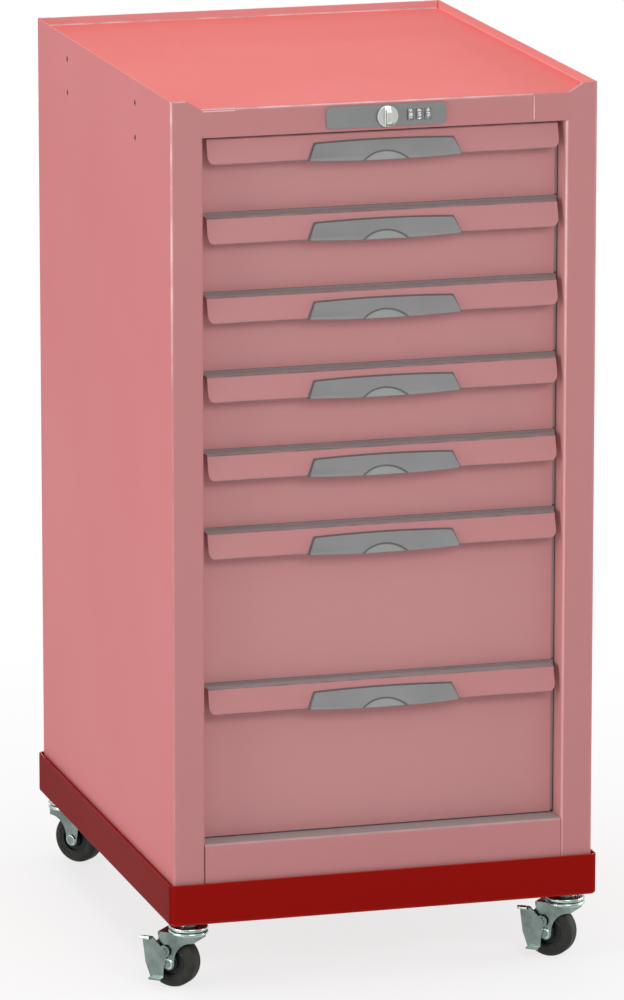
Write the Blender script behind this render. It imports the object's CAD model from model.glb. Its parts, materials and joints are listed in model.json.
"""Dresses a drawer cabinet and its wheeled base: paint, grips, lock, casters, light and camera."""
import json
import math

import bmesh
import bpy
from bpy.props import FloatProperty, FloatVectorProperty, PointerProperty
from mathutils import Matrix, Vector


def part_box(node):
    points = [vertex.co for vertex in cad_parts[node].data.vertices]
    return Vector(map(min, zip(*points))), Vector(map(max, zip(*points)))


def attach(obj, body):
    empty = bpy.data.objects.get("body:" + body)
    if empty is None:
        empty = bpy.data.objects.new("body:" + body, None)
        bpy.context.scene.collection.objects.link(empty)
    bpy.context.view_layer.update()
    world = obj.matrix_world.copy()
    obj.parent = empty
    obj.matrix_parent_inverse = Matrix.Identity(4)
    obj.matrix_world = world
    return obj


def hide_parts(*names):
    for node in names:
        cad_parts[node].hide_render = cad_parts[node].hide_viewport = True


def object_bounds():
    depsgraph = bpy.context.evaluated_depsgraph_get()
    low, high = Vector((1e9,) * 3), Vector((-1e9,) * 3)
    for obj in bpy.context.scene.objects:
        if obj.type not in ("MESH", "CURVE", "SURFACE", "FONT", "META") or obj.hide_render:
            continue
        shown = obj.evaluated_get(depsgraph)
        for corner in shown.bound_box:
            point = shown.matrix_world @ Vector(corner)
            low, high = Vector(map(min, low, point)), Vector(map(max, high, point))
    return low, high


bl_info = {
    "name": "Drawer Cabinet Finish",
    "version": (1, 0, 0),
    "blender": (4, 5, 0),
    "location": "View3D > Sidebar > Cabinet",
    "description": "Finishes a drawer cabinet on a wheeled base and sets its light and camera",
    "category": "Object",
}

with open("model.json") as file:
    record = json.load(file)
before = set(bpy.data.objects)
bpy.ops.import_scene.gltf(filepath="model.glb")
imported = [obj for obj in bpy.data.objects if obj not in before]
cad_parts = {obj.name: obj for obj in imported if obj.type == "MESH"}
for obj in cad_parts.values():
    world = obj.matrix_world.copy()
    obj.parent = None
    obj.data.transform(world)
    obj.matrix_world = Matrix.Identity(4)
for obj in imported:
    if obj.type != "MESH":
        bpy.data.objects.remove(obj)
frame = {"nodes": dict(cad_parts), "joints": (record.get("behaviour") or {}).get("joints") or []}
CAD_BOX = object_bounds()
NODES = frame["nodes"]
JOINTS = {joint["name"]: joint for joint in frame["joints"]}

MM = 0.001
DRAWERS = tuple(f"drawer_{number}" for number in range(1, 8))
NUMBER_WHEELS = tuple(f"number_wheel_{number}" for number in range(1, 4))
CASTERS = ("front_left", "front_right", "rear_left", "rear_right")
BRAKED = ("front_left", "front_right")
DIGITS = "0123456789"
SHOWN = (8, 5, 2)

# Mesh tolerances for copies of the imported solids
MERGE_GAP = 0.002 * MM
FLAT_ANGLE = math.radians(0.4)
CORNER_ANGLE = math.radians(28)
SMOOTH_ANGLE = math.radians(32)
FOLD_WIDTH = 0.3 * MM
PARALLEL = 0.01

# Shares of a normal: barely to the front, turned to a side, mostly one way, straight through, upright
FORWARD = 0.1
TURNED = 0.3
MOSTLY = 0.5
THROUGH = 0.8
UPRIGHT = 0.99

# Largest share of a normal in the middle of a fold, and the light that is left beside the middle
FOLD_MIDDLE = 0.88
FOLD_SIDE = 0.2

# Range of a normal's share over which one tone turns into the next
TONE_LOW = 0.5
TONE_HIGH = 0.9

# Heights between which the light line along a fold fades, and the share that is left
FADE_LOW = 0.57
FADE_HIGH = 0.67
FADED = 0.15

# Steps of curved profiles and of rounded edges
FOLD_STEPS = 4
SHOULDER_STEPS = 10
TURN_STEPS = 72
EDGE_STEPS = 2
CORNER_STEPS = 5
FILLER_STEPS = 6

# Share of half a grip's width past which its corners lie
GRIP_END = 0.75

# Reach of the seam before and behind the flange's face, and its rounding, in seam heights
SEAM_FRONT = 1.5
SEAM_BACK = 0.5
SEAM_ROUND = 0.4

# How much paler polished plastic and dust are than the colour under them
POLISHED = 1.35
DUSTY = 3.0

# Side of a hub: radius and rise over the tyre's side, in millimetres
HUB_SIDE = (
    (4.3, 1.2),
    (7.2, 1.2),
    (7.8, 0.6),
    (8.2, -2.6),
    (12.0, -2.6),
    (12.6, -0.4),
    (14.2, -0.2),
    (14.9, -0.9),
)

# Side of a tyre: drop at its seat, and past the seat the start and end of its ring and the ring's edge
SEAT_DROP = 0.8 * MM
RING_START = 1.0 * MM
RING_END = 2.2 * MM
RING_EDGE = 2.8 * MM

# Place and size of each lamp, in metres
LAMPS = {
    "overhead": ((-0.4, 0.4, 3.0), (1.6, 1.6)),
    "left": ((-3.0, -0.8, 0.9), (1.6, 1.4)),
    "front": ((0.2, -2.8, 1.75), (1.4, 0.8)),
    "right": ((3.2, -0.4, 0.9), (1.6, 1.4)),
    "back": ((0.75, 3.6, 0.6), (1.8, 0.9)),
}

# Floor and view: half width, far end, start of the shadow's fade and the share of white there
FLOOR_HALF = 12.0
VIEW_END = 60.0
SHADOW_START = 0.3
SHADOW_WHITE = 0.75

# Sockets of group inputs by the length of their default, and socket places on the Mix node for colours
SOCKET_KINDS = {1: "Float", 3: "Vector", 4: "Color"}
MIX_A = 6
MIX_B = 7
MIX_RESULT = 2

# Plain colours
GREY = (0.5, 0.5, 0.5, 1.0)
BLACK = (0.0, 0.0, 0.0, 1.0)
WHITE = (1.0, 1.0, 1.0, 1.0)


def srgb(*levels):
    """Turns levels from 0 to 255, as they read on a screen, into a linear colour."""
    shares = [level / 255 for level in levels]
    return tuple(s / 12.92 if s <= 0.04045 else ((s + 0.055) / 1.055) ** 2.4 for s in shares)


def opaque(colour):
    """Adds a full alpha to a colour."""
    return (*colour, 1.0)


def colour_property(label, description, default):
    """A colour that a user would change."""
    return FloatVectorProperty(
        name=label, description=description, subtype="COLOR", size=3, min=0.0, max=1.0, default=default
    )


def length_property(label, description, default):
    """A length that a user would change, in metres."""
    return FloatProperty(name=label, description=description, unit="LENGTH", min=0.0, default=default)


def angle_property(label, description, default):
    """An angle that a user would change, with its default in degrees."""
    return FloatProperty(name=label, description=description, subtype="ANGLE", default=math.radians(default))


def power_property(label, description, default):
    """A lamp's power that a user would change."""
    return FloatProperty(name=label, description=description, subtype="POWER", default=default)


class CabinetColours(bpy.types.PropertyGroup):
    """Colours of the finishes."""

    cabinet: colour_property("Cabinet", "Powder coat on the faces to front and back", srgb(192, 131, 132))
    cabinet_side: colour_property("Sides", "Powder coat on the faces to the sides", srgb(206, 118, 120))
    cabinet_top: colour_property("Top", "Powder coat on the upward faces", srgb(237, 121, 117))
    fold: colour_property("Fold", "Powder coat of the shell where it thins over a fold", srgb(240, 206, 206))
    jamb: colour_property("Jamb", "Powder coat on the inner faces of the walls", srgb(214, 152, 152))
    rim: colour_property("Rim", "Powder coat on the inner faces of the rims", srgb(250, 170, 167))
    back_rim: colour_property("Back rim", "Powder coat on the front of the back", srgb(228, 160, 159))
    recess: colour_property("Recess", "Powder coat on the panels under the lips", srgb(197, 139, 140))
    lip_top: colour_property("Lip top", "Shaded tops of the drawer fronts and the floor", srgb(172, 164, 163))
    tray_floor: colour_property("Tray floor", "Floors of the trays", srgb(182, 146, 146))
    drawer_edge: colour_property("Drawer edge", "Dark line along a drawer's folds", srgb(122, 108, 108))
    base: colour_property("Base", "Powder coat of the base to front and back", srgb(146, 19, 14))
    base_side: colour_property("Base sides", "Powder coat of the base to the sides", srgb(122, 16, 12))
    base_top: colour_property("Base top", "Powder coat of the base on upward faces", srgb(175, 22, 14))
    base_edge: colour_property("Base edge", "Powder coat of the base on its edges", srgb(196, 70, 62))
    grip: colour_property("Grip", "Moulded grips of the drawers", srgb(141, 141, 142))
    moon: colour_property("Thumb rest", "Half-moon thumb rest in each grip", srgb(152, 156, 153))
    strip: colour_property("Lock strip", "Moulded strip of the lock", srgb(136, 137, 137))
    gasket: colour_property("Grip seat", "Dark line round each grip and thumb rest", srgb(112, 106, 107))
    seal: colour_property("Seal", "Soft strips that close the gaps round the drawers", srgb(157, 146, 145))
    zinc: colour_property("Zinc", "Plated steel of the casters and runners", srgb(146, 161, 155))
    knob: colour_property("Knob", "Satin metal of the lock knob", srgb(188, 189, 186))
    numbers: colour_property("Number wheels", "Moulded body of the number wheels", srgb(134, 134, 135))
    digits: colour_property("Digits", "Filled digits of the number wheels", srgb(246, 245, 242))
    tyre: colour_property("Tyre", "Rubber of the tyres", srgb(46, 47, 43))
    hub: colour_property("Hub", "Moulded hub of the wheels", srgb(22, 25, 26))


class CabinetSizes(bpy.types.PropertyGroup):
    """Sizes of the rounding and small detail."""

    sheet: length_property("Sheet", "Thickness of the sheet of the shell", 1.2 * MM)
    rim_fold: length_property("Rim fold", "Radius of the fold at the foot of a rim", 1.2 * MM)
    rim_start: length_property("Rim start", "Where the side rims' folds begin behind the front", 3 * MM)
    flange_half: length_property("Flange", "Half the width of the top's front flange", 145 * MM)
    seam_width: length_property("Seam", "Width of the seam at the end of the flange", 1.0 * MM)
    seam_height: length_property("Seam height", "Height of the seam over the flange", 0.2 * MM)
    shell_fold: length_property("Shell fold", "Outer radius of the folds of the shell", 2.7 * MM)
    post_flat: length_property("Post flat", "Level width of a post's top", 15 * MM)
    filler: length_property("Filler", "Height of the filler over the ends of the rail", 0.05 * MM)
    filler_edge: length_property("Filler edge", "Rounding of the filler's upper edge", 1.9 * MM)
    line_width: length_property("Light line", "Width of a light line along a cut edge", 1.0 * MM)
    line_drop: length_property("Line drop", "Depth of the rail's light line below the top", 2.0 * MM)
    seal_rise: length_property("Seal rise", "How far a seal stands up over its drawer", 2.1 * MM)
    seal_reach: length_property("Seal reach", "How far a seal reaches past a drawer's sides", 2.6 * MM)
    seal_lap: length_property("Seal lap", "How far a seal laps behind a drawer's panel", 4 * MM)
    seal_thickness: length_property("Seal thickness", "Thickness of a seal", 1.2 * MM)
    seal_foot: length_property("Seal foot", "How far a seal ends above its drawer's foot", 1 * MM)
    sheet_edge: length_property("Sheet edge", "Rounding of cut sheet edges", 0.25 * MM)
    base_edge: length_property("Base edge", "Rounding of the edges of the base", 0.4 * MM)
    grip_edge: length_property("Grip edge", "Rounding of the moulded grips", 0.5 * MM)
    fork_edge: length_property("Fork edge", "Rounding of the pressed forks and brakes", 0.45 * MM)
    knob_edge: length_property("Knob edge", "Rounding of the knob", 0.6 * MM)
    flange_edge: length_property("Flange edge", "Rounding of the edges of the top", 0.5 * MM)
    grip_corner: length_property("Grip corner", "Rounding of the four corners of a grip", 2.2 * MM)
    gasket_width: length_property("Grip seat", "Width of the seat line round a grip", 1.8 * MM)
    gasket_height: length_property("Seat height", "Height of the seat line over the lip", 0.2 * MM)
    moon_gap: length_property("Thumb rest gap", "Gap between a scoop's edge and its dark line", 0.1 * MM)
    moon_line: length_property("Thumb rest line", "Width of the dark line over a thumb rest", 2.0 * MM)
    moon_height: length_property("Thumb rest", "Height of a thumb rest over the scoop", 0.15 * MM)
    digit_size: length_property("Digit", "Height of the type on the number wheels", 4.7 * MM)
    digit_spread: FloatProperty(name="Digit width", description="Widening of the digits", default=1.5)
    digit_bold: length_property("Digit weight", "Thickening of the digits", 0.12 * MM)
    digit_depth: length_property("Digit depth", "Depth of the filled digits", 0.12 * MM)
    weld_radius: length_property("Weld", "Radius of a spot weld mark", 2.6 * MM)
    weld_height: length_property("Weld height", "Height of a spot weld mark", 0.35 * MM)
    weld_pitch: length_property("Weld pitch", "Distance between spot welds on the back", 78 * MM)
    weld_inset: length_property("Weld inset", "From the back panel's edge to the spot welds", 6 * MM)
    tyre_half: length_property("Tyre", "Half the width of a tyre", 10 * MM)
    tyre_seat: length_property("Tyre seat", "Radius of a tyre's seat on its hub", 14.8 * MM)
    tyre_crown: length_property("Tyre crown", "Rounding of a tyre's shoulders", 6 * MM)
    tyre_groove: length_property("Tyre ring", "Depth of the moulded ring on a tyre's side", 0.5 * MM)


class CabinetStage(bpy.types.PropertyGroup):
    """Camera, floor and lights."""

    azimuth: angle_property("Azimuth", "Camera's turn round the cabinet", -15.97)
    elevation: angle_property("Elevation", "Camera's height angle", 12.85)
    distance: length_property("Distance", "From the camera to the point it looks at", 7.137)
    target: FloatVectorProperty(
        name="Target",
        description="Point the camera looks at",
        subtype="TRANSLATION",
        default=(0.0017, 0.0, 0.4106),
    )
    focal: FloatProperty(name="Focal length", description="In image heights", min=1.0, default=7.329)
    ambient: FloatProperty(name="Ambient", description="Even light from all round", min=0.0, default=0.42)
    overhead: power_property("Overhead", "Light from above", 24.0)
    left: power_property("Left", "Soft light from the left", 35.0)
    front: power_property("Front", "Soft light from the front", 24.5)
    right: power_property("Right", "Soft light from the right", 38.0)
    back: power_property("Back", "Soft light from behind", 50.0)
    floor: colour_property("Floor", "Pale floor", (0.86, 0.86, 0.86))
    shadow_reach: length_property("Shadow reach", "How far the floor keeps a shadow", 1.1)


def colours():
    """The colours in use."""
    return bpy.context.scene.cabinet_colours


def sizes():
    """The sizes in use."""
    return bpy.context.scene.cabinet_sizes


def tone(name, factor=1.0):
    """A colour in use by its name, scaled, held to the range of paint and with a full alpha."""
    return opaque(min(1.0, share * factor) for share in getattr(colours(), name))


def plug(tree, socket, value):
    """Links a socket to another, or sets it to a plain value."""
    if isinstance(value, bpy.types.NodeSocket):
        tree.links.new(value, socket)
    else:
        socket.default_value = value


def feed(tree, node, *values, **named):
    """Sets or links a node's inputs, in order or by name. An underscore in a name stands for a space."""
    for socket, value in zip(node.inputs, values):
        plug(tree, socket, value)
    for name, value in named.items():
        plug(tree, node.inputs[name.replace("_", " ")], value)
    return node


def add_node(tree, kind, *values, options=(), **named):
    """Adds a node, sets its options and feeds its inputs."""
    made = tree.nodes.new(kind)
    for name, value in dict(options).items():
        setattr(made, name, value)
    return feed(tree, made, *values, **named)


def add_math(tree, operation, *values, clamp=False):
    """Adds a piece of arithmetic and returns its result."""
    options = {"operation": operation, "use_clamp": clamp}
    return add_node(tree, "ShaderNodeMath", *values, options=options).outputs["Value"]


def add_range(tree, value, low, high, **limits):
    """Adds a ramp from 0 to 1, or between other limits, and returns its result."""
    ramp = add_node(tree, "ShaderNodeMapRange", Value=value, From_Min=low, From_Max=high, **limits)
    return ramp.outputs["Result"]


def add_mix(tree, factor, first, second):
    """Adds a mix of two colours and returns its result."""
    mix = add_node(tree, "ShaderNodeMix", options={"data_type": "RGBA"}, Factor=factor)
    plug(tree, mix.inputs[MIX_A], first)
    plug(tree, mix.inputs[MIX_B], second)
    return mix.outputs[MIX_RESULT]


def add_noise(tree, scale, detail, roughness=0.5, stretch=None):
    """Adds a noise in the piece's own coordinates, stretched if asked, and returns its level."""
    place = add_node(tree, "ShaderNodeTexCoord").outputs["Object"]
    if stretch is not None:
        wide = add_node(tree, "ShaderNodeVectorMath", place, stretch, options={"operation": "MULTIPLY"})
        place = wide.outputs["Vector"]
    noise = add_node(
        tree, "ShaderNodeTexNoise", Vector=place, Scale=scale, Detail=detail, Roughness=roughness
    )
    return noise.outputs["Fac"]


def add_mark(tree, name):
    """Adds an attribute of the piece and returns its level."""
    return add_node(tree, "ShaderNodeAttribute", options={"attribute_name": name}).outputs["Fac"]


def new_group(name, inputs, outputs):
    """Starts a node group with inputs {name: default} and outputs {name: kind}."""
    tree = bpy.data.node_groups.new(name, "ShaderNodeTree")
    for label, default in inputs.items():
        kind = SOCKET_KINDS[1 if isinstance(default, float) else len(default)]
        socket = tree.interface.new_socket(name=label, in_out="INPUT", socket_type=f"NodeSocket{kind}")
        socket.default_value = default
    for label, kind in outputs.items():
        tree.interface.new_socket(name=label, in_out="OUTPUT", socket_type=f"NodeSocket{kind}")
    return tree, tree.nodes.new("NodeGroupInput").outputs, tree.nodes.new("NodeGroupOutput")


def use_group(tree, build, **inputs):
    """Places a node group in a material, building it on its first use, and returns its outputs."""
    made = tree.nodes.new("ShaderNodeGroup")
    made.node_tree = bpy.data.node_groups.get(build.__name__) or build(build.__name__)
    return feed(tree, made, **inputs).outputs


def tone_drift(name):
    """Slow drift of colour and gloss over a painted or moulded surface."""
    inputs = {"Color": GREY, "Depth": 0.1, "Scale": 9.0, "Roughness": 0.4, "Spread": 0.1}
    tree, given, result = new_group(name, inputs, {"Color": "Color", "Roughness": "Float"})
    cloud = add_noise(tree, given["Scale"], detail=5.0, roughness=0.6)
    share = add_range(tree, cloud, low=0.3, high=0.7)
    depth = add_math(tree, "MULTIPLY", share, given["Depth"])
    swing = add_math(tree, "SUBTRACT", share, 0.5)
    gloss = add_math(tree, "MULTIPLY_ADD", swing, given["Spread"], given["Roughness"], clamp=True)
    feed(tree, result, Color=add_mix(tree, depth, given["Color"], BLACK), Roughness=gloss)
    return tree


def facing_tone(name):
    """Tone of a coat that differs between front, side, inner and upward faces."""
    labels = ("Color", "Side Color", "Inner Color", "Top Color", "Recess Color", "Rim Color")
    inputs = {**dict.fromkeys(labels, GREY), "Rim Level": 1.0}
    tree, given, result = new_group(name, inputs, {"Color": "Color"})
    place = add_node(tree, "ShaderNodeTexCoord").outputs
    facing = add_node(tree, "ShaderNodeSeparateXYZ", place["Normal"]).outputs
    spot = add_node(tree, "ShaderNodeSeparateXYZ", place["Object"]).outputs
    inner = add_mark(tree, "inner")
    sideways = add_range(tree, add_math(tree, "ABSOLUTE", facing["X"]), TONE_LOW, TONE_HIGH)
    upward = add_range(tree, facing["Z"], TONE_LOW, TONE_HIGH)
    turned = add_math(tree, "SUBTRACT", sideways, add_mark(tree, "plain"), clamp=True)
    above = add_math(tree, "GREATER_THAN", spot["Z"], given["Rim Level"])
    rim = add_mix(tree, above, given["Inner Color"], given["Rim Color"])
    side = add_mix(tree, inner, given["Side Color"], rim)
    front = add_mix(tree, inner, given["Color"], given["Recess Color"])
    level = add_mix(tree, turned, front, side)
    feed(tree, result, Color=add_mix(tree, upward, level, given["Top Color"]))
    return tree


def worn_edges(name):
    """Tone of a finish along its edges and folds, broken up along their length."""
    inputs = {"Color": GREY, "Edge Color": GREY, "Amount": 0.5, "Scale": 60.0}
    tree, given, result = new_group(name, inputs, {"Color": "Color"})
    chips = add_noise(tree, given["Scale"], detail=3.0)
    broken = add_range(tree, chips, low=0.35, high=0.6, To_Min=0.45)
    strength = add_math(tree, "MULTIPLY", add_mark(tree, "edge"), given["Amount"])
    mask = add_math(tree, "MULTIPLY", strength, broken)
    feed(tree, result, Color=add_mix(tree, mask, given["Color"], given["Edge Color"]))
    return tree


def fine_grain(name):
    """Height of a fine even grain, such as the skin of powder coat or of moulded plastic."""
    tree, given, result = new_group(name, {"Scale": 400.0}, {"Height": "Float"})
    feed(tree, result, Height=add_noise(tree, given["Scale"], detail=2.0))
    return tree


def drawn_lines(name):
    """Height of the fine lines that rolling or turning leaves in metal."""
    inputs = {"Scale": 60.0, "Stretch": (1.0, 1.0, 12.0)}
    tree, given, result = new_group(name, inputs, {"Lines": "Float"})
    lines = add_noise(tree, given["Scale"], detail=4.0, roughness=0.65, stretch=given["Stretch"])
    feed(tree, result, Lines=lines)
    return tree


def floor_dust(name):
    """Specks of pale dust."""
    inputs = {"Color": GREY, "Dust Color": GREY, "Amount": 0.3, "Scale": 90.0}
    tree, given, result = new_group(name, inputs, {"Color": "Color"})
    specks = add_noise(tree, given["Scale"], detail=6.0, roughness=0.7)
    broken = add_range(tree, specks, low=0.42, high=0.72)
    share = add_math(tree, "MULTIPLY", broken, given["Amount"])
    feed(tree, result, Color=add_mix(tree, share, given["Color"], given["Dust Color"]))
    return tree


def open_tree(owner, kind):
    """Clears the nodes of a material or a world and returns its tree and its output node."""
    owner.use_nodes = True
    owner.node_tree.nodes.clear()
    return owner.node_tree, owner.node_tree.nodes.new(kind)


def new_material(name):
    """Starts a material and returns it with its tree and shader."""
    made = bpy.data.materials.new(name)
    tree, output = open_tree(made, "ShaderNodeOutputMaterial")
    shader = tree.nodes.new("ShaderNodeBsdfPrincipled")
    feed(tree, output, Surface=shader.outputs["BSDF"])
    return made, tree, shader


def add_bump(tree, level, height):
    """Adds a bump from a level, with its height in metres, and returns the normal."""
    return add_node(tree, "ShaderNodeBump", Strength=1.0, Distance=height, Height=level).outputs["Normal"]


def add_grain(tree, scale, height):
    """Adds the bump of a fine grain, with its height in metres, and returns the normal."""
    return add_bump(tree, use_group(tree, fine_grain, Scale=scale)["Height"], height)


def lay(tree, shader, drift, build, wear):
    """Feeds a shader with a drifting tone and gloss, and lays wear or dust over the tone."""
    drift = use_group(tree, tone_drift, **drift)
    worn = use_group(tree, build, Color=drift["Color"], **wear)
    feed(tree, shader, Base_Color=worn["Color"], Roughness=drift["Roughness"])


def powder_coat(name, edge, amount, gloss, **tones):
    """Satin powder coat with a slight skin, drifting gloss and a tone of its own along edges."""
    made, tree, shader = new_material(name)
    tones = {label: tone(colour) for label, colour in {**COAT_TONES, **tones}.items()}
    facing = use_group(tree, facing_tone, Rim_Level=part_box("top_panel")[1].z, **tones)
    drift = {"Color": facing["Color"], "Depth": 0.02, "Scale": 3.0, "Roughness": 0.45, "Spread": 0.08}
    wear = {"Edge_Color": tone(edge), "Amount": amount, "Scale": 45.0}
    lay(tree, shader, drift, worn_edges, wear)
    feed(tree, shader, Specular_IOR_Level=gloss, Normal=add_grain(tree, scale=900.0, height=0.012 * MM))
    return made


def moulded(name, colour, roughness, height, scale=1500.0):
    """Moulded plastic with a fine grain and edges that are polished by use."""
    made, tree, shader = new_material(name)
    drift = {"Color": tone(colour), "Depth": 0.1, "Scale": 16.0, "Roughness": roughness, "Spread": 0.12}
    wear = {"Edge_Color": tone(colour, POLISHED), "Amount": 0.5, "Scale": 80.0}
    lay(tree, shader, drift, worn_edges, wear)
    feed(tree, shader, Specular_IOR_Level=0.25, Normal=add_grain(tree, scale, height))
    return made


def metal(name, colour, roughness, stretch, scale, depth=0.14, glint=1.3):
    """Bare or plated metal with drawn lines, a drifting gloss and glinting edges."""
    made, tree, shader = new_material(name)
    drift = {"Color": tone(colour), "Depth": depth, "Scale": 60.0, "Roughness": roughness, "Spread": 0.14}
    wear = {"Edge_Color": tone(colour, glint), "Amount": 0.8, "Scale": 120.0}
    lay(tree, shader, drift, worn_edges, wear)
    lines = use_group(tree, drawn_lines, Scale=scale, Stretch=stretch)
    feed(tree, shader, Metallic=1.0, Normal=add_bump(tree, lines["Lines"], height=0.01 * MM))
    return made


def rubber(name, colour):
    """Dull rubber with floor dust."""
    made, tree, shader = new_material(name)
    drift = {"Color": tone(colour), "Depth": 0.2, "Scale": 60.0, "Roughness": 0.62, "Spread": 0.18}
    dust = {"Dust_Color": tone(colour, DUSTY), "Amount": 0.25, "Scale": 160.0}
    lay(tree, shader, drift, floor_dust, dust)
    feed(tree, shader, Specular_IOR_Level=0.2, Normal=add_grain(tree, scale=1400.0, height=0.04 * MM))
    return made


# Tones of the cabinet's powder coat, by the faces that take them
COAT_TONES = {
    "Color": "cabinet",
    "Side_Color": "cabinet_side",
    "Inner_Color": "jamb",
    "Top_Color": "lip_top",
    "Recess_Color": "recess",
    "Rim_Color": "rim",
}

# Tones of the walls, of the top and of the base that differ from these
WALL_TONES = {"Top_Color": "cabinet_top", "Recess_Color": "back_rim"}
TOP_TONES = {"Side_Color": "cabinet", "Top_Color": "cabinet_top"}
BASE_TONES = {
    "Color": "base",
    "Side_Color": "base_side",
    "Inner_Color": "base",
    "Top_Color": "base_top",
    "Recess_Color": "base",
}

# Finishes by name: how each is made, and its settings
FINISHES = {
    "wall_paint": (powder_coat, dict(edge="fold", amount=0.85, gloss=0.08, **WALL_TONES)),
    "top_paint": (powder_coat, dict(edge="fold", amount=0.85, gloss=0.02, **TOP_TONES)),
    "pan_paint": (powder_coat, dict(edge="fold", amount=0.2, gloss=0.1)),
    "tray_paint": (powder_coat, dict(edge="drawer_edge", amount=0.85, gloss=0.2, Top_Color="tray_floor")),
    "drawer_paint": (powder_coat, dict(edge="drawer_edge", amount=0.85, gloss=0.2)),
    "base_paint": (powder_coat, dict(edge="base_edge", amount=0.45, gloss=0.015, **BASE_TONES)),
    "grip_plastic": (moulded, dict(colour="grip", roughness=0.5, height=0.02 * MM)),
    "moon_plastic": (moulded, dict(colour="moon", roughness=0.5, height=0.02 * MM)),
    "strip_plastic": (moulded, dict(colour="strip", roughness=0.5, height=0.02 * MM)),
    "seat_line": (moulded, dict(colour="gasket", roughness=0.7, height=0.01 * MM)),
    "seal_rubber": (moulded, dict(colour="seal", roughness=0.7, height=0.01 * MM)),
    "number_plastic": (moulded, dict(colour="numbers", roughness=0.4, height=0.01 * MM, scale=1800.0)),
    "digit_fill": (moulded, dict(colour="digits", roughness=0.45, height=0.005 * MM, scale=2000.0)),
    "hub_plastic": (moulded, dict(colour="hub", roughness=0.38, height=0.02 * MM, scale=1200.0)),
    "caster_zinc": (
        metal,
        dict(colour="zinc", roughness=0.22, stretch=(1.0, 1.0, 1.0), scale=300.0, depth=0.5, glint=2.6),
    ),
    "runner_zinc": (metal, dict(colour="zinc", roughness=0.36, stretch=(1.0, 0.05, 1.0), scale=700.0)),
    "satin_metal": (
        metal,
        dict(colour="knob", roughness=0.34, stretch=(1.0, 1.0, 0.1), scale=1500.0, glint=1.9),
    ),
    "tyre_rubber": (rubber, dict(colour="tyre")),
}
MADE = {}


def finish(name):
    """Returns a material by its name, making it on its first use."""
    if name not in MADE:
        make, settings = FINISHES[name]
        MADE[name] = make(name, **settings)
    return MADE[name]


def merged_copy(node):
    """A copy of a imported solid's mesh with its triangles joined into whole faces."""
    bm = bmesh.new()
    bm.from_mesh(NODES[node].data)
    bmesh.ops.remove_doubles(bm, verts=bm.verts, dist=MERGE_GAP)
    bmesh.ops.dissolve_limit(bm, angle_limit=FLAT_ANGLE, verts=bm.verts, edges=bm.edges)
    return bm


def mark(faces, layer, level):
    """Gives every corner of some faces the same level in a layer."""
    for face in faces:
        for loop in face.loops:
            loop[layer] = level


def mark_fold(faces, layer, light):
    """Marks the faces of folds, with most of the light in the middle of a fold."""
    for face in faces:
        middle = max(abs(share) for share in face.normal) < FOLD_MIDDLE
        mark([face], layer, light if middle else FOLD_SIDE * light)


def bevel(bm, edges, width, steps):
    """Rounds edges and returns the new faces."""
    made = bmesh.ops.bevel(
        bm,
        geom=edges,
        offset=width,
        offset_type="OFFSET",
        segments=steps,
        profile=0.5,
        affect="EDGES",
        clamp_overlap=True,
        material=-1,
    )
    return made["faces"]


def round_corners(bm, width):
    """Rounds the sharp edges of a mesh and marks them, and the narrow faces of folds, as edges."""
    edge = bm.loops.layers.float.new("edge")
    folds = [face for face in bm.faces if face.calc_area() < FOLD_WIDTH * face.calc_perimeter()]
    mark_fold(folds, edge, 1.0)
    corners = [side for side in bm.edges if side.is_manifold and side.calc_face_angle() > CORNER_ANGLE]
    mark(bevel(bm, corners, width, EDGE_STEPS), edge, 1.0)


def mark_inner(bm, recessed):
    """Marks the faces that look towards the middle of the cabinet, and recessed upright fronts."""
    inner = bm.loops.layers.float.new("inner")
    for face in bm.faces:
        centre = face.calc_center_median()
        inward = face.normal.x * math.copysign(1.0, centre.x) < -TURNED
        upright = face.normal.y < -UPRIGHT and (recessed or centre.y > 0.0)
        if inward or upright:
            mark([face], inner, 1.0)


def fade_folds(bm):
    """Keeps the light line along a wall's folds only where light falls: high up, to the left, on the posts.

    The inner fold of the left post is marked as plain and takes the tone of the front.
    """
    plain = bm.loops.layers.float.new("plain")
    edge = bm.loops.layers.float["edge"]
    inner = bm.loops.layers.float["inner"]
    rail_low, rail_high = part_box("front_rail")
    for level in (FADE_LOW, FADE_HIGH, rail_low.z):
        folds = [face for face in bm.faces if face.loops[0][edge] > 0.0]
        rims = {side for face in folds for side in face.edges}
        ends = {vert for face in folds for vert in face.verts}
        bmesh.ops.bisect_plane(
            bm,
            geom=[*ends, *rims, *folds],
            dist=MERGE_GAP,
            plane_co=(0.0, 0.0, level),
            plane_no=(0.0, 0.0, 1.0),
        )
    for face in bm.faces:
        centre = face.calc_center_median()
        unlit = abs(centre.x + rail_high.x) < 2 * sizes().shell_fold and face.normal.y < -FORWARD
        covered = centre.z > rail_low.z and face.normal.x * centre.x < 0.0
        share = 1.0 if face.normal.x < TURNED and abs(centre.x) > rail_high.x else FADED
        if unlit or covered:
            share = 0.0
        for loop in face.loops:
            rise = (loop.vert.co.z - FADE_LOW) / (FADE_HIGH - FADE_LOW)
            loop[edge] *= share * max(FADED, min(1.0, rise))
            loop[plain] = float(unlit)
            loop[inner] *= 1.0 - loop[plain]


def add_block(bm, low, high):
    """Adds a block between two corners and returns its vertices."""
    low, high = Vector(low), Vector(high)
    place = Matrix.Translation((low + high) / 2) @ Matrix.Diagonal((*(high - low), 1.0))
    return bmesh.ops.create_cube(bm, size=1.0, matrix=place)["verts"]


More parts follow.
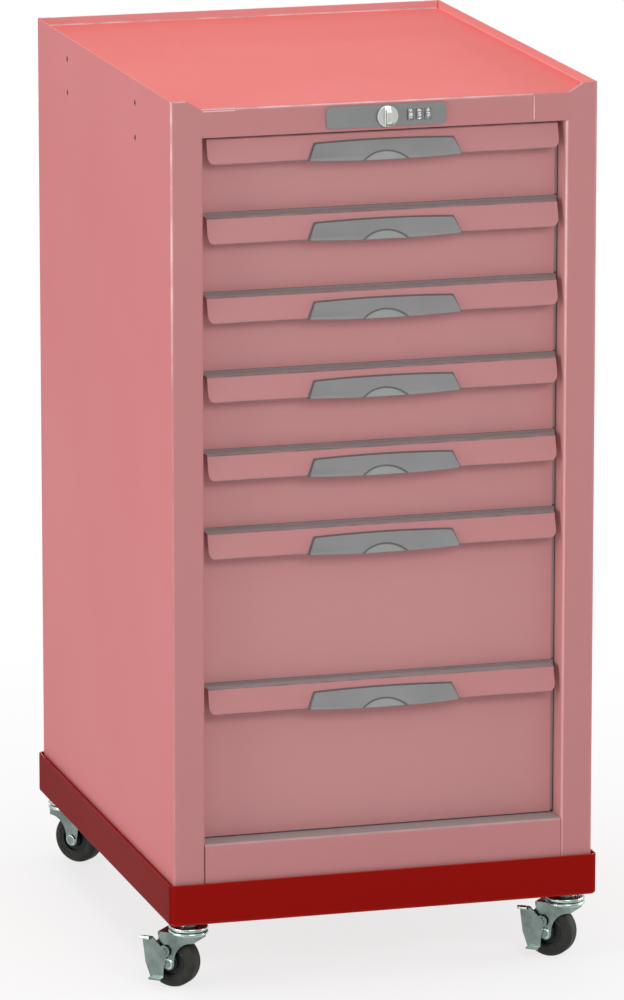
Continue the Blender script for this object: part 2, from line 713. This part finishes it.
def add_prism(bm, points, along):
    """Draws an outline out along a vector and returns the faces this adds to it."""
    foot = bm.faces.new([bm.verts.new(point) for point in points])
    drawn = bmesh.ops.extrude_face_region(bm, geom=[foot])["geom"]
    moved = [part for part in drawn if isinstance(part, bmesh.types.BMVert)]
    bmesh.ops.translate(bm, verts=moved, vec=along)
    return {face for vert in moved for face in vert.link_faces}


def add_piece(name, bm, body, paint, stands_for=()):
    """Makes a finished piece from a mesh and seats it on its body."""
    mesh = bpy.data.meshes.new(name)
    bm.to_mesh(mesh)
    bm.free()
    mesh.materials.append(finish(paint))
    mesh.shade_smooth()
    mesh.set_sharp_from_angle(angle=SMOOTH_ANGLE)
    piece = bpy.data.objects.new(name, mesh)
    bpy.context.scene.collection.objects.link(piece)
    flat = piece.modifiers.new("flat_faces", "WEIGHTED_NORMAL")
    flat.keep_sharp = True
    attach(piece, body)
    if stands_for:
        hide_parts(*stands_for)


def dress(node, body, paint, width, recessed=False, faded=False):
    """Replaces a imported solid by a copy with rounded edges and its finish."""
    bm = merged_copy(node)
    round_corners(bm, width)
    mark_inner(bm, recessed)
    if faded:
        fade_folds(bm)
    add_piece(f"{node}_dressed", bm, body, paint, (node,))


def coat(node, paint):
    """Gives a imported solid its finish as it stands."""
    mesh = NODES[node].data
    mesh.materials.clear()
    mesh.materials.append(finish(paint))


def lathe(profile):
    """Turns a profile of (radius, along) points round the Y axis."""
    bm = bmesh.new()
    points = [bm.verts.new((radius, along, 0.0)) for radius, along in profile]
    edges = [bm.edges.new(pair) for pair in zip(points, points[1:])]
    bmesh.ops.spin(
        bm,
        geom=points + edges,
        cent=(0.0, 0.0, 0.0),
        axis=(0.0, 1.0, 0.0),
        angle=math.tau,
        steps=TURN_STEPS,
        use_merge=True,
    )
    bmesh.ops.remove_doubles(bm, verts=bm.verts, dist=MERGE_GAP)
    bmesh.ops.recalc_face_normals(bm, faces=bm.faces)
    return bm


def arc(centre, radius, start, end, steps):
    """Points of an arc in a profile, from one angle in degrees to another."""
    turns = [math.radians(start + (end - start) * step / steps) for step in range(steps + 1)]
    return [(centre[0] + radius * math.cos(turn), centre[1] + radius * math.sin(turn)) for turn in turns]


def axis_place(joint):
    """Matrix that takes the Y axis at the origin to a joint's axis."""
    turn = Vector((0.0, 1.0, 0.0)).rotation_difference(Vector(joint["axis"]))
    return Matrix.Translation(joint["pos_m"]) @ turn.to_matrix().to_4x4()


class CABINET_OT_shell(bpy.types.Operator):
    """Finish the walls, top, rail and floor of the cabinet"""

    bl_idname = "cabinet.shell"
    bl_label = "Shell"

    def execute(self, context):
        coats = {
            "left_side": "wall_paint",
            "right_side": "wall_paint",
            "back_panel": "wall_paint",
            "front_rail": "wall_paint",
            "top_panel": "top_paint",
            "bottom_pan": "pan_paint",
        }
        for node, paint in coats.items():
            width = sizes().flange_edge if paint == "top_paint" else sizes().sheet_edge
            faded = node in ("left_side", "right_side", "front_rail")
            dress(node, "cabinet", paint, width, faded=faded)
        self.add_rim_folds()
        self.add_corner_seam()
        self.add_rail_ends()
        self.add_light_lines()
        self.add_welds()
        return {"FINISHED"}

    def add_rim_folds(self):
        """Adds the folds along the feet of the back and side rims."""
        panel_low, panel_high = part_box("back_panel")
        top_low, top_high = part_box("top_panel")
        back = panel_high.y - sizes().sheet
        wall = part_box("right_side")[1].x - sizes().sheet
        near = top_low.y + sizes().rim_start
        bm = bmesh.new()
        bm.loops.layers.float.new("edge")
        bm.loops.layers.float.new("inner")
        left, right = (panel_low.x, back, top_high.z), (panel_high.x, back, top_high.z)
        self.add_fold(bm, left, right, (0.0, -1.0, 0.0), 1.0)
        for side in (-1.0, 1.0):
            start = (side * wall, near, top_high.z)
            end = (side * wall, back, top_high.z)
            self.add_fold(bm, start, end, (-side, 0.0, 0.0), 0.0)
        bmesh.ops.recalc_face_normals(bm, faces=bm.faces)
        add_piece("rim_folds", bm, "cabinet", "wall_paint")

    def add_fold(self, bm, start, end, out, light):
        """Adds one hollow fold between two points, with its share of light along it."""
        start, end, out = Vector(start), Vector(end), Vector(out)
        radius = sizes().rim_fold
        profile = [(0.0, 0.0)] + arc((radius, radius), radius, 180, 270, FOLD_STEPS)
        points = [start + out * reach + Vector((0.0, 0.0, height)) for reach, height in profile]
        faces = add_prism(bm, points, end - start)
        mark(faces, bm.loops.layers.float["edge"], light)
        mark(faces, bm.loops.layers.float["inner"], 1.0 - light)

    def add_corner_seam(self):
        """Adds the pale seam at the right end of the top's front flange."""
        low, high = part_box("top_panel")
        end, height = sizes().flange_half, sizes().seam_height
        inset = 2 * sizes().sheet
        near, far = low.y - SEAM_FRONT * height, low.y + SEAM_BACK * height
        bm = bmesh.new()
        add_block(bm, (end - sizes().seam_width, near, low.z + inset), (end, far, high.z - inset))
        round_corners(bm, SEAM_ROUND * height)
        mark(bm.faces, bm.loops.layers.float["edge"], 1.0)
        add_piece("corner_seam", bm, "cabinet", "wall_paint")

    def add_rail_ends(self):
        """Fills the ends of the rail flush with the posts and the flange, as on a ground weld."""
        low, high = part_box("top_panel")
        rail_low, rail_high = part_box("front_rail")
        filler = sizes().filler
        front, top = low.y - filler, high.z + filler / 2
        back = rail_low.y + sizes().sheet / 2
        outer = rail_high.x + sizes().shell_fold + filler
        inner = sizes().flange_half - sizes().seam_width
        bm = bmesh.new()
        edge = bm.loops.layers.float.new("edge")
        for near, far, light in ((-outer, -inner, 1.0), (inner, outer, FADED)):
            corners = add_block(bm, (near, front, low.z), (far, back, top))
            upper = [vert for vert in corners if vert.co.z > low.z + MM and vert.co.y < front + MM]
            ridge = [side for side in upper[0].link_edges if side.other_vert(upper[0]) in upper]
            mark_fold(bevel(bm, ridge, sizes().filler_edge, FILLER_STEPS), edge, light)
        add_piece("rail_ends", bm, "cabinet", "top_paint")

    def add_light_lines(self):
        """Adds the light lines on the cut edges of the posts and on the left end of the rail."""
        low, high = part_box("right_side")
        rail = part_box("front_rail")[1].x
        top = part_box("top_panel")[1].z
        flat, fold = sizes().post_flat, sizes().shell_fold
        rim = high.z - sizes().filler
        level = top - sizes().line_drop
        bm = bmesh.new()
        bm.loops.layers.float.new("edge")
        self.add_line(bm, low.y, (fold - high.x, rim), (flat - high.x, rim))
        self.add_line(bm, low.y, (rail + fold, top), (high.x - flat, rim))
        self.add_line(bm, low.y, (-rail, level), (-sizes().flange_half, level))
        bmesh.ops.recalc_face_normals(bm, faces=bm.faces)
        add_piece("light_lines", bm, "cabinet", "top_paint")

    def add_line(self, bm, front, start, end):
        """Adds one light line on the front, under the edge between two points (x, z)."""
        start, end = Vector(start), Vector(end)
        along = (end - start).normalized()
        below = Vector((along.y, -along.x)) * sizes().line_width
        proud = 2 * sizes().filler
        outline = [(x, front + proud, z) for x, z in (start, end, end + below, start + below)]
        faces = add_prism(bm, outline, (0.0, -2 * proud, 0.0))
        mark(faces, bm.loops.layers.float["edge"], 1.0)

    def add_welds(self):
        """Adds the spot weld marks along both rear flanges."""
        low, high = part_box("left_side")
        panel_low, panel_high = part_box("back_panel")
        column = panel_low.x + sizes().weld_inset
        count = int((panel_high.z - panel_low.z) // sizes().weld_pitch)
        start = (panel_low.z + panel_high.z - (count - 1) * sizes().weld_pitch) / 2
        flat = Matrix.Diagonal((1.0, sizes().weld_height / sizes().weld_radius, 1.0, 1.0))
        bm = bmesh.new()
        for x in (column, -column):
            for step in range(count):
                centre = Matrix.Translation((x, high.y, start + step * sizes().weld_pitch))
                bmesh.ops.create_uvsphere(
                    bm, u_segments=16, v_segments=8, radius=sizes().weld_radius, matrix=centre @ flat
                )
        add_piece("spot_welds", bm, "cabinet", "wall_paint")


class CABINET_OT_drawers(bpy.types.Operator):
    """Finish the fronts and trays of the drawers and their seals"""

    bl_idname = "cabinet.drawers"
    bl_label = "Drawers"

    def execute(self, context):
        for drawer in DRAWERS:
            front = f"{drawer}_front"
            dress(front, drawer, "drawer_paint", sizes().sheet_edge, recessed=True)
            dress(f"{drawer}_tray", drawer, "tray_paint", sizes().sheet_edge)
            self.add_seal(drawer)
        return {"FINISHED"}

    def add_seal(self, drawer):
        """Adds the soft strips that close the gaps above a drawer's front and at its sides."""
        low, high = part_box(f"{drawer}_front")
        reach, lap = sizes().seal_reach, sizes().seal_lap
        rise = 0.0 if drawer == DRAWERS[0] else sizes().seal_rise
        near, far = high.y, high.y + sizes().seal_thickness
        foot, level = low.z + sizes().seal_foot, high.z - lap
        bm = bmesh.new()
        add_block(bm, (low.x - reach, near, level), (high.x + reach, far, high.z + rise))
        add_block(bm, (low.x - reach, near, foot), (low.x + lap, far, level))
        add_block(bm, (high.x - lap, near, foot), (high.x + reach, far, level))
        add_piece(f"{drawer}_seal", bm, drawer, "seal_rubber")


class CABINET_OT_grips(bpy.types.Operator):
    """Finish the moulded grips, their seat lines and thumb rests"""

    bl_idname = "cabinet.grips"
    bl_label = "Grips"

    def execute(self, context):
        for drawer in DRAWERS:
            node = f"{drawer}_grip"
            bm = merged_copy(node)
            back = max(bm.faces, key=lambda face: face.calc_area() if face.normal.y > MOSTLY else 0.0)
            width, height = sizes().gasket_width, sizes().gasket_height
            self.add_plate(f"{node}_seat", drawer, back, "seat_line", width, -height)
            self.add_scoop(node, drawer, bm)
            self.soften(bm, back.normal.copy())
            round_corners(bm, sizes().grip_edge)
            add_piece(f"{node}_dressed", bm, drawer, "grip_plastic", (node,))
        return {"FINISHED"}

    def soften(self, bm, facing):
        """Rounds the four outer corners of a grip."""
        reach = GRIP_END * max(abs(vert.co.x) for vert in bm.verts)
        corners = []
        for edge in bm.edges:
            first, second = (vert.co for vert in edge.verts)
            through = abs((second - first).normalized().dot(facing)) > THROUGH
            if through and abs(first.x) > reach and edge.calc_face_angle(0.0) > CORNER_ANGLE:
                corners.append(edge)
        bevel(bm, corners, sizes().grip_corner, CORNER_STEPS)

    def add_scoop(self, node, drawer, bm):
        """Adds the dark line and the pale half-moon in the scoop of a grip."""
        forward = [face for face in bm.faces if face.normal.y < -MOSTLY]
        central = [face for face in forward if abs(face.calc_center_median().x) < MM]
        floor = min(central, key=lambda face: face.calc_area())
        height = sizes().moon_height
        self.add_plate(f"{node}_line", drawer, floor, "seat_line", -sizes().moon_gap, height / 2)
        self.add_plate(f"{node}_moon", drawer, floor, "moon_plastic", -sizes().moon_line, height)

    def add_plate(self, name, drawer, face, paint, growth, height):
        """Adds a thin plate on a face, grown or shrunk on every side but its foot."""
        facing = face.normal.copy()
        outline = [loop.vert.co.copy() for loop in face.loops]
        bm = bmesh.new()
        add_prism(bm, self.grown(outline, facing, growth), facing * height)
        bmesh.ops.recalc_face_normals(bm, faces=bm.faces)
        add_piece(name, bm, drawer, paint)

    def grown(self, outline, facing, growth):
        """Points of an outline that is moved outwards on every side but its foot."""
        outward = []
        for point, after in zip(outline, outline[1:] + outline[:1]):
            outward.append((after - point).normalized().cross(facing))
        shift = [0.0 if out.z < -MOSTLY else growth for out in outward]
        points = []
        for place, point in enumerate(outline):
            first, second = outward[place - 1], outward[place]
            near, far = shift[place - 1], shift[place]
            lean = first.dot(second)
            spread = 1.0 - lean * lean
            if spread < PARALLEL:
                points.append(point + second * far)
                continue
            move = first * ((near - lean * far) / spread) + second * ((far - lean * near) / spread)
            points.append(point + move)
        return points


class CABINET_OT_runners(bpy.types.Operator):
    """Finish the runners and the uprights that carry them"""

    bl_idname = "cabinet.runners"
    bl_label = "Runners"

    def execute(self, context):
        coat("runner_uprights", "runner_zinc")
        coat("cabinet_runners", "runner_zinc")
        for drawer in DRAWERS:
            coat(f"{drawer}_runners", "runner_zinc")
        return {"FINISHED"}


class CABINET_OT_lock(bpy.types.Operator):
    """Finish the lock: its strip, knob, number wheels, spindle and bar"""

    bl_idname = "cabinet.lock"
    bl_label = "Lock"

    def execute(self, context):
        dress("lock_strip", "cabinet", "strip_plastic", sizes().grip_edge)
        dress("lock_knob", "lock", "satin_metal", sizes().knob_edge)
        coat("lock_spindle", "caster_zinc")
        coat("lock_bar", "runner_zinc")
        for wheel, shown in zip(NUMBER_WHEELS, SHOWN):
            dress(wheel, wheel, "number_plastic", sizes().sheet_edge)
            self.add_digits(wheel, shown)
        return {"FINISHED"}

    def add_digits(self, wheel, shown):
        """Wraps the ten digits round a number wheel, with one of them to the front."""
        low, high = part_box(wheel)
        centre = (low + high) / 2
        radius = (high.z - low.z) / 2
        bm = bmesh.new()
        for place, digit in enumerate(DIGITS):
            self.add_digit(bm, digit, centre, radius, math.tau * (place - shown) / len(DIGITS))
        add_piece(f"{wheel}_digits", bm, wheel, "digit_fill")

    def add_digit(self, bm, digit, centre, radius, turn):
        """Adds one digit, bent to the rim of the wheel."""
        curve = bpy.data.curves.new("digit", "FONT")
        curve.body = digit
        curve.size = sizes().digit_size
        curve.align_x = "CENTER"
        curve.align_y = "CENTER"
        curve.extrude = sizes().digit_depth
        curve.offset = sizes().digit_bold
        holder = bpy.data.objects.new("digit", curve)
        bpy.context.scene.collection.objects.link(holder)
        ready = holder.evaluated_get(bpy.context.evaluated_depsgraph_get())
        mesh = bpy.data.meshes.new_from_object(ready)
        bpy.data.objects.remove(holder)
        bpy.data.curves.remove(curve)
        first = len(bm.verts)
        bm.from_mesh(mesh)
        bpy.data.meshes.remove(mesh)
        bm.verts.ensure_lookup_table()
        for vert in bm.verts[first:]:
            across, up, out = vert.co
            angle = turn + up / radius
            reach = radius + out
            wide = across * sizes().digit_spread
            vert.co = centre + Vector((wide, -reach * math.cos(angle), reach * math.sin(angle)))


class CABINET_OT_base(bpy.types.Operator):
    """Finish the wheeled base"""

    bl_idname = "cabinet.base"
    bl_label = "Base"

    def execute(self, context):
        dress("base_frame", "cabinet", "base_paint", sizes().base_edge)
        return {"FINISHED"}


class CABINET_OT_casters(bpy.types.Operator):
    """Finish the casters: stems, forks, axles, hubs and tyres"""

    bl_idname = "cabinet.casters"
    bl_label = "Casters"

    def execute(self, context):
        dress("caster_stems", "cabinet", "caster_zinc", sizes().fork_edge)
        for caster in CASTERS:
            dress(f"{caster}_fork", f"{caster}_swivel", "caster_zinc", sizes().fork_edge)
            dress(f"{caster}_axle", f"{caster}_swivel", "caster_zinc", sizes().fork_edge)
            self.add_wheel(caster)
        return {"FINISHED"}

    def add_wheel(self, caster):
        """Makes a wheel as a crowned tyre on a dished hub."""
        low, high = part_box(f"{caster}_wheel")
        radius = (high.z - low.z) / 2
        half, seat, crown = sizes().tyre_half, sizes().tyre_seat, sizes().tyre_crown
        ring = half - sizes().tyre_groove
        side = [
            (seat, half - SEAT_DROP),
            (seat + RING_START, ring),
            (seat + RING_END, ring),
            (seat + RING_EDGE, half),
        ]
        shoulder = arc((radius - crown, half - crown), crown, 90, 0, SHOULDER_STEPS)
        self.add_turned(caster, "tyre", "tyre_rubber", side + shoulder)
        hub = [(reach * MM, half + rise * MM) for reach, rise in HUB_SIDE]
        self.add_turned(caster, "hub", "hub_plastic", hub)

    def add_turned(self, caster, part, paint, side):
        """Turns the profile of a wheel's side, and its mirror image, round the wheel's axis."""
        node = f"{caster}_wheel"
        profile = side + [(radius, -along) for radius, along in reversed(side)]
        bm = lathe(profile + profile[:1])
        bmesh.ops.transform(bm, matrix=axis_place(JOINTS[f"{caster}_roll"]), verts=bm.verts)
        add_piece(f"{caster}_{part}", bm, node, paint, (node,))


class CABINET_OT_brakes(bpy.types.Operator):
    """Finish the brake rockers of the front casters"""

    bl_idname = "cabinet.brakes"
    bl_label = "Brakes"

    def execute(self, context):
        for caster in BRAKED:
            node = f"{caster}_brake"
            dress(node, node, "caster_zinc", sizes().fork_edge)
        return {"FINISHED"}


class CABINET_OT_stage(bpy.types.Operator):
    """Set the camera, the pale floor and the soft light"""

    bl_idname = "cabinet.stage"
    bl_label = "Stage"

    def execute(self, context):
        stage = context.scene.cabinet_stage
        context.scene.view_settings.view_transform = "Standard"
        self.add_camera(context.scene, stage)
        self.add_floor(context.scene, stage)
        self.set_world(context.scene, stage)
        for name, (place, size) in LAMPS.items():
            self.add_lamp(name, place, size, getattr(stage, name))
        return {"FINISHED"}

    def add_camera(self, scene, stage):
        """Places the camera at the photograph's viewing angle."""
        data = bpy.data.cameras.new("camera")
        camera = bpy.data.objects.new("camera", data)
        scene.collection.objects.link(camera)
        flat = math.cos(stage.elevation)
        outward = Vector(
            (math.sin(stage.azimuth) * flat, -math.cos(stage.azimuth) * flat, math.sin(stage.elevation))
        )
        camera.location = Vector(stage.target) + outward * stage.distance
        camera.rotation_euler = outward.to_track_quat("Z", "Y").to_euler()
        data.lens = data.sensor_width * stage.focal
        data.clip_end = VIEW_END
        scene.camera = camera

    def add_floor(self, scene, stage):
        """Lays the floor, which shows white to the camera and keeps the object's shadow."""
        bm = bmesh.new()
        bmesh.ops.create_grid(bm, x_segments=1, y_segments=1, size=FLOOR_HALF)
        mesh = bpy.data.meshes.new("floor")
        bm.to_mesh(mesh)
        bm.free()
        mesh.materials.append(self.floor_material(stage))
        floor = bpy.data.objects.new("floor", mesh)
        scene.collection.objects.link(floor)

    def floor_material(self, stage):
        """Pale matt floor that turns to plain white away from the object, for all but diffuse rays."""
        made = bpy.data.materials.new("pale_floor")
        tree, output = open_tree(made, "ShaderNodeOutputMaterial")
        place = add_node(tree, "ShaderNodeTexCoord").outputs["Object"]
        reach = add_node(tree, "ShaderNodeVectorMath", place, options={"operation": "LENGTH"})
        ramp = add_range(tree, reach.outputs["Value"], SHADOW_START, stage.shadow_reach, To_Min=SHADOW_WHITE)
        matt = add_node(tree, "ShaderNodeBsdfDiffuse", Color=opaque(stage.floor))
        white = add_node(tree, "ShaderNodeEmission", Strength=1.0)
        share = add_math(tree, "MULTIPLY", ramp, self.seen_rays(tree))
        mix = add_node(tree, "ShaderNodeMixShader", share, matt.outputs["BSDF"], white.outputs["Emission"])
        feed(tree, output, Surface=mix.outputs["Shader"])
        return made

    def seen_rays(self, tree):
        """Adds a mask of the rays that show the background: from the camera, in gloss and through glass."""
        rays = add_node(tree, "ShaderNodeLightPath").outputs
        direct = add_math(tree, "MAXIMUM", rays["Is Camera Ray"], rays["Is Glossy Ray"])
        return add_math(tree, "MAXIMUM", direct, rays["Is Transmission Ray"])

    def set_world(self, scene, stage):
        """Makes the surroundings white to look at and a plain even light otherwise."""
        scene.world = bpy.data.worlds.new("studio")
        tree, output = open_tree(scene.world, "ShaderNodeOutputWorld")
        lights = []
        for strength in (stage.ambient, 1.0):
            light = add_node(tree, "ShaderNodeBackground", Color=WHITE, Strength=strength)
            lights.append(light.outputs["Background"])
        mix = add_node(tree, "ShaderNodeMixShader", self.seen_rays(tree), *lights)
        feed(tree, output, Surface=mix.outputs["Shader"])

    def add_lamp(self, name, place, size, power):
        """Adds a soft rectangular lamp that faces the middle of the cabinet."""
        data = bpy.data.lights.new(name, "AREA")
        data.shape = "RECTANGLE"
        data.size, data.size_y = size
        data.energy = power
        lamp = bpy.data.objects.new(name, data)
        bpy.context.scene.collection.objects.link(lamp)
        middle = Vector((0.0, 0.0, CAD_BOX[1][2] / 2))
        lamp.location = place
        lamp.rotation_euler = (Vector(place) - middle).to_track_quat("Z", "Y").to_euler()


OPERATORS = (
    CABINET_OT_stage,
    CABINET_OT_shell,
    CABINET_OT_drawers,
    CABINET_OT_grips,
    CABINET_OT_runners,
    CABINET_OT_lock,
    CABINET_OT_base,
    CABINET_OT_casters,
    CABINET_OT_brakes,
)

GROUPS = {
    "cabinet_colours": CabinetColours,
    "cabinet_sizes": CabinetSizes,
    "cabinet_stage": CabinetStage,
}


class CABINET_PT_finish(bpy.types.Panel):
    """Lists the steps of the cabinet's finish and their settings"""

    bl_idname = "CABINET_PT_finish"
    bl_label = "Cabinet"
    bl_space_type = "VIEW_3D"
    bl_region_type = "UI"
    bl_category = "Cabinet"

    def draw(self, context):
        for operator in OPERATORS:
            self.layout.operator(operator.bl_idname)
        for label in GROUPS:
            group = getattr(context.scene, label)
            box = self.layout.box()
            for name in group.__annotations__:
                box.prop(group, name)


def register():
    """Registers the settings, the operators and the panel."""
    for name, group in GROUPS.items():
        bpy.utils.register_class(group)
        setattr(bpy.types.Scene, name, PointerProperty(type=group))
    for operator in OPERATORS:
        bpy.utils.register_class(operator)
    bpy.utils.register_class(CABINET_PT_finish)


def unregister():
    """Takes back what register did."""
    bpy.utils.unregister_class(CABINET_PT_finish)
    for operator in reversed(OPERATORS):
        bpy.utils.unregister_class(operator)
    for name, group in GROUPS.items():
        delattr(bpy.types.Scene, name)
        bpy.utils.unregister_class(group)


def main():
    """Runs every step in order."""
    register()
    bpy.ops.cabinet.stage()
    bpy.ops.cabinet.shell()
    bpy.ops.cabinet.drawers()
    bpy.ops.cabinet.grips()
    bpy.ops.cabinet.runners()
    bpy.ops.cabinet.lock()
    bpy.ops.cabinet.base()
    bpy.ops.cabinet.casters()
    bpy.ops.cabinet.brakes()


if __name__ == "__main__":
    main()
